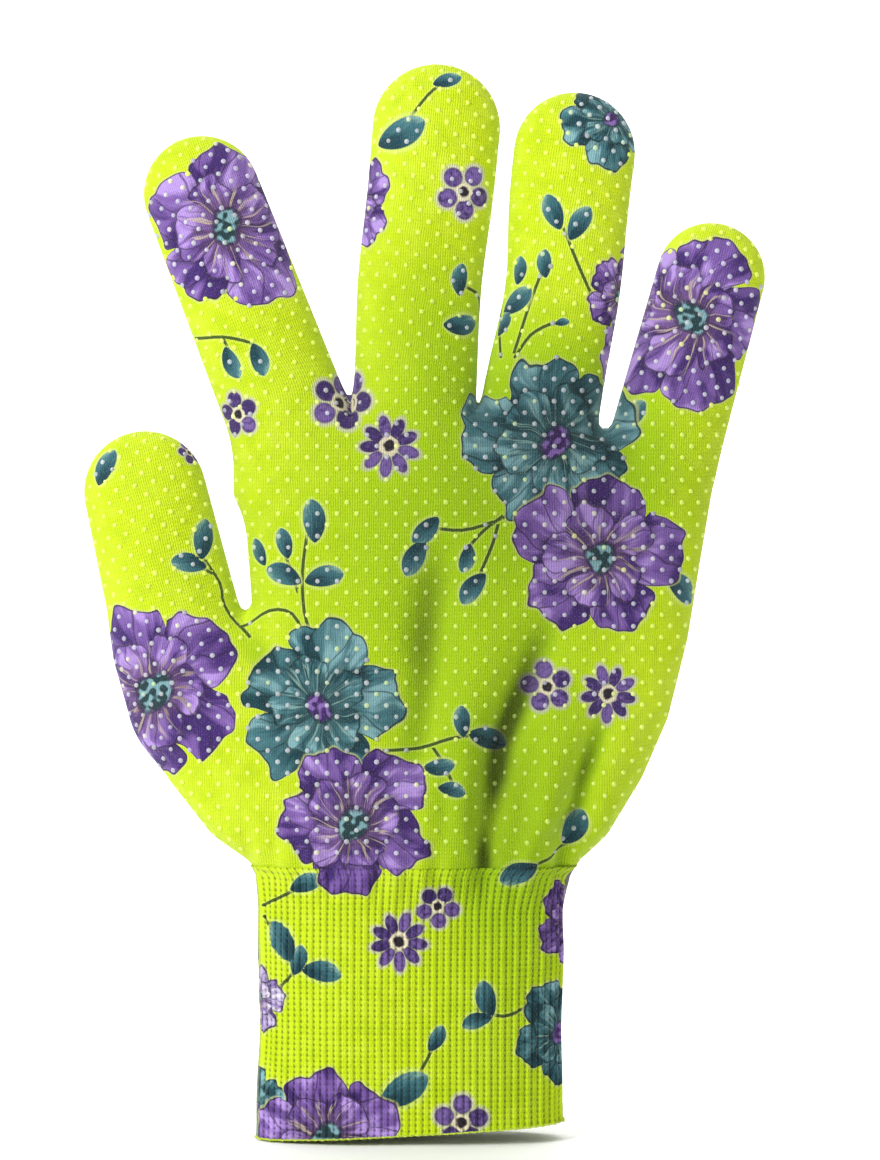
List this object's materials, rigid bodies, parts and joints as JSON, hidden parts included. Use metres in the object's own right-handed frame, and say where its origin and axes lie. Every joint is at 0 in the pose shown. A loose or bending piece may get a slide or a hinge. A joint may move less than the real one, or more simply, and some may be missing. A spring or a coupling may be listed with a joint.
{
  "type": "gardening glove",
  "caption": "Seamless knitted gardening glove for the left hand, with raised grip dots on the palm side, an all-over flower print and a ribbed elastic cuff.",
  "frame": {"origin": "centre of the cuff's mouth, in the plane of its rim", "axes": "+Z from the cuff to the fingertips, -Y out of the palm (dotted) side, -X towards the thumb; the glove stands on its cuff"},
  "size_m": [0.1453, 0.0203, 0.2331],
  "materials": {
    "printed_knit": "fine jersey knit, printed all over with flowers and leaves",
    "cuff_knit": "rib knit, printed all over with flowers and leaves",
    "overlock_thread": "overlock stitching",
    "elastic": "covered elastic thread",
    "grip_dots": "translucent soft PVC, slightly glossy"
  },
  "bodies": {
    "cuff": {"cuff_rib": "cuff_knit", "cuff_elastic": "elastic", "cuff_overlock": "overlock_thread"},
    "hand": {"palm_thumb_section": "printed_knit", "palm_finger_section": "printed_knit", "palm_thumb_section_dots": "grip_dots", "palm_finger_section_dots": "grip_dots"},
    "index_root": {"index_root_tube": "printed_knit", "index_root_dots": "grip_dots"},
    "index_middle": {"index_middle_tube": "printed_knit", "index_middle_dots": "grip_dots"},
    "index_tip": {"index_tip": "printed_knit", "index_tip_dots": "grip_dots"},
    "middle_root": {"middle_root_tube": "printed_knit", "middle_root_dots": "grip_dots"},
    "middle_middle": {"middle_middle_tube": "printed_knit", "middle_middle_dots": "grip_dots"},
    "middle_tip": {"middle_tip": "printed_knit", "middle_tip_dots": "grip_dots"},
    "ring_root": {"ring_root_tube": "printed_knit", "ring_root_dots": "grip_dots"},
    "ring_middle": {"ring_middle_tube": "printed_knit", "ring_middle_dots": "grip_dots"},
    "ring_tip": {"ring_tip": "printed_knit", "ring_tip_dots": "grip_dots"},
    "little_root": {"little_root_tube": "printed_knit", "little_root_dots": "grip_dots"},
    "little_middle": {"little_middle_tube": "printed_knit", "little_middle_dots": "grip_dots"},
    "little_tip": {"little_tip": "printed_knit", "little_tip_dots": "grip_dots"},
    "thumb_root": {"thumb_root_tube": "printed_knit", "thumb_root_dots": "grip_dots"},
    "thumb_tip": {"thumb_tip": "printed_knit", "thumb_tip_dots": "grip_dots"}
  },
  "joints": [
    {"name": "wrist_fold", "type": "hinge", "parent": "cuff", "child": "hand", "pos_m": [0.0004, 0, 0.06], "axis": [1, 0, 0], "range_deg": [-40, 50]},
    {"name": "index_root_fold", "type": "hinge", "parent": "hand", "child": "index_root", "pos_m": [-0.02778, 0, 0.1619], "axis": [0.9833, 0, 0.1822], "range_deg": [-8, 70]},
    {"name": "index_middle_fold", "type": "hinge", "parent": "index_root", "child": "index_middle", "pos_m": [-0.03458, 0, 0.17964], "axis": [0.9833, 0, 0.1822], "range_deg": [0, 70]},
    {"name": "index_tip_fold", "type": "hinge", "parent": "index_middle", "child": "index_tip", "pos_m": [-0.04175, 0, 0.19831], "axis": [0.9833, 0, 0.1822], "range_deg": [0, 42]},
    {"name": "middle_root_fold", "type": "hinge", "parent": "hand", "child": "middle_root", "pos_m": [0.00095, 0, 0.16799], "axis": [0.9992, 0, -0.0401], "range_deg": [-8, 70]},
    {"name": "middle_middle_fold", "type": "hinge", "parent": "middle_root", "child": "middle_middle", "pos_m": [0.00271, 0, 0.18942], "axis": [0.9992, 0, -0.0401], "range_deg": [0, 80]},
    {"name": "middle_tip_fold", "type": "hinge", "parent": "middle_middle", "child": "middle_tip", "pos_m": [0.00451, 0, 0.21134], "axis": [0.9992, 0, -0.0401], "range_deg": [0, 48]},
    {"name": "ring_root_fold", "type": "hinge", "parent": "hand", "child": "ring_root", "pos_m": [0.0289, 0, 0.16667], "axis": [0.9978, 0, -0.0663], "range_deg": [-8, 70]},
    {"name": "ring_middle_fold", "type": "hinge", "parent": "ring_root", "child": "ring_middle", "pos_m": [0.03148, 0, 0.186], "axis": [0.9978, 0, -0.0663], "range_deg": [0, 80]},
    {"name": "ring_tip_fold", "type": "hinge", "parent": "ring_middle", "child": "ring_tip", "pos_m": [0.03425, 0, 0.20682], "axis": [0.9978, 0, -0.0663], "range_deg": [0, 48]},
    {"name": "little_root_fold", "type": "hinge", "parent": "hand", "child": "little_root", "pos_m": [0.05655, 0, 0.15982], "axis": [0.9914, 0, -0.1305], "range_deg": [-8, 65]},
    {"name": "little_middle_fold", "type": "hinge", "parent": "little_root", "child": "little_middle", "pos_m": [0.05991, 0, 0.17237], "axis": [0.9914, 0, -0.1305], "range_deg": [0, 70]},
    {"name": "little_tip_fold", "type": "hinge", "parent": "little_middle", "child": "little_tip", "pos_m": [0.06302, 0, 0.18396], "axis": [0.9914, 0, -0.1305], "range_deg": [0, 42]},
    {"name": "thumb_root_fold", "type": "hinge", "parent": "hand", "child": "thumb_root", "pos_m": [-0.05035, 0, 0.11447], "axis": [0.8988, 0, 0.4384], "range_deg": [-8, 30]},
    {"name": "thumb_tip_fold", "type": "hinge", "parent": "thumb_root", "child": "thumb_tip", "pos_m": [-0.05472, 0, 0.13296], "axis": [0.8988, 0, 0.4384], "range_deg": [0, 60]}
  ],
  "couplings": [
    {"joint": "index_tip_fold", "follows": "index_middle_fold", "ratio": 0.6},
    {"joint": "middle_tip_fold", "follows": "middle_middle_fold", "ratio": 0.6},
    {"joint": "ring_tip_fold", "follows": "ring_middle_fold", "ratio": 0.6},
    {"joint": "little_tip_fold", "follows": "little_middle_fold", "ratio": 0.6}
  ]
}
